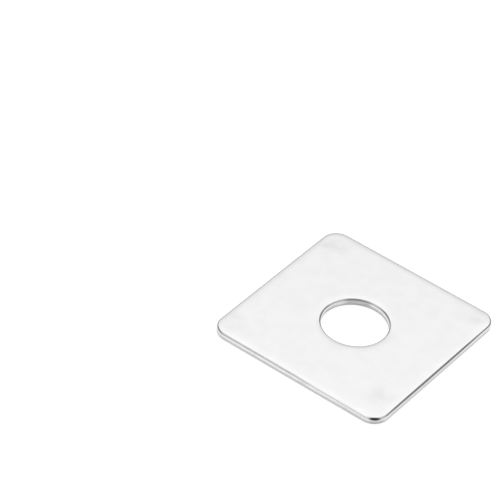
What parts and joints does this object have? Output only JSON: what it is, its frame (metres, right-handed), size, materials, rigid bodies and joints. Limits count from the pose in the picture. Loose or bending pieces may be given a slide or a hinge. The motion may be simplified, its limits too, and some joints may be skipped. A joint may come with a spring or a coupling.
{
  "type": "square plate washer",
  "caption": "Flat square steel washer with round corners, soft sheared edges and a central round bolt bore, for spreading a bolt's load.",
  "frame": {"origin": "on the bore's axis, in the flat underside that seats on the work", "axes": "+Z along the bore's axis, towards the face with the rolled edges that the nut or bolt head presses on; +X and +Y square to the washer's straight sides"},
  "size_m": [0.04, 0.04, 0.0016],
  "materials": {
    "stainless_steel": "bright tumbled sheet with faint mottling, burnished at the sheared edges"
  },
  "bodies": {
    "root": {"square_washer": "stainless_steel"}
  },
  "joints": []
}
